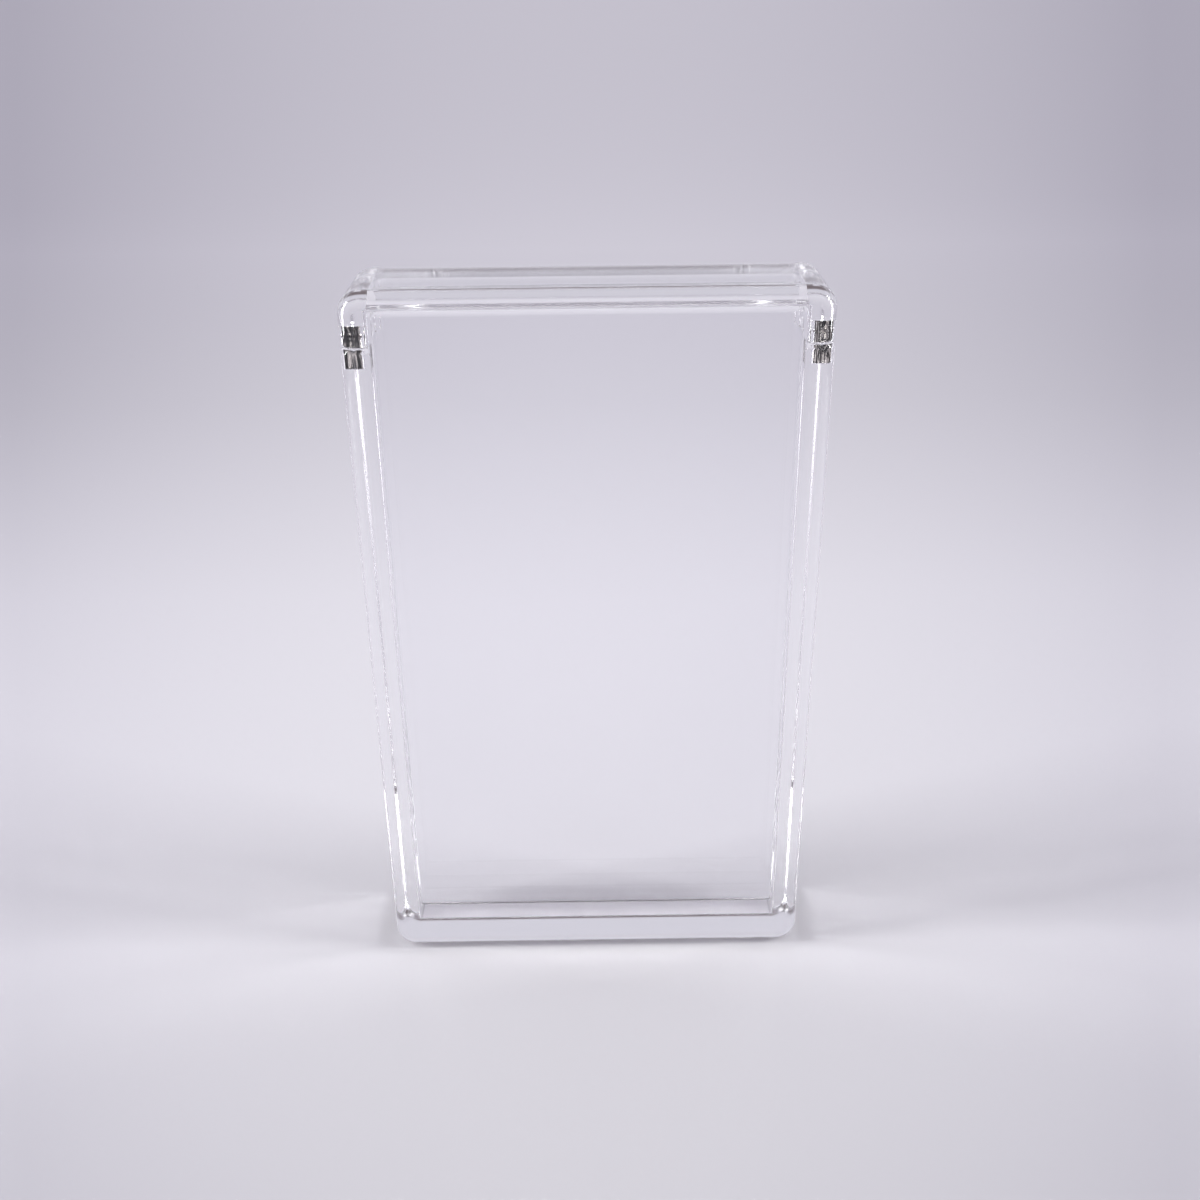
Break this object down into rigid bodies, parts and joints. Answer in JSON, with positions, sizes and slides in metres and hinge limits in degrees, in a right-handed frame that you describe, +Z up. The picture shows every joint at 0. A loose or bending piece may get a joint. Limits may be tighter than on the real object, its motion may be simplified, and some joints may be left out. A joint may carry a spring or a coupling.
{
  "type": "trading card display case",
  "caption": "Upright clear acrylic display case with thick windows, a narrow inner cavity and a lift-off lid held by hidden magnets.",
  "frame": {"origin": "centre of the underside, on the surface the case stands on", "axes": "+Z up through the lid, +X along the width to the right, +Y from the front window to the rear window"},
  "size_m": [0.08, 0.02, 0.132],
  "materials": {
    "clear_acrylic": "polished, water-clear acrylic",
    "nickel_plate": "bright nickel plating on pressed magnet"
  },
  "bodies": {
    "case": {"case_body": "clear_acrylic", "body_magnet_left": "nickel_plate", "body_magnet_right": "nickel_plate"},
    "lid": {"lid": "clear_acrylic", "lid_magnet_left": "nickel_plate", "lid_magnet_right": "nickel_plate"}
  },
  "joints": [
    {"name": "lid_lift", "type": "slide", "parent": "case", "child": "lid", "axis": [0, 0, 1], "range_m": [0, 0.03]}
  ]
}
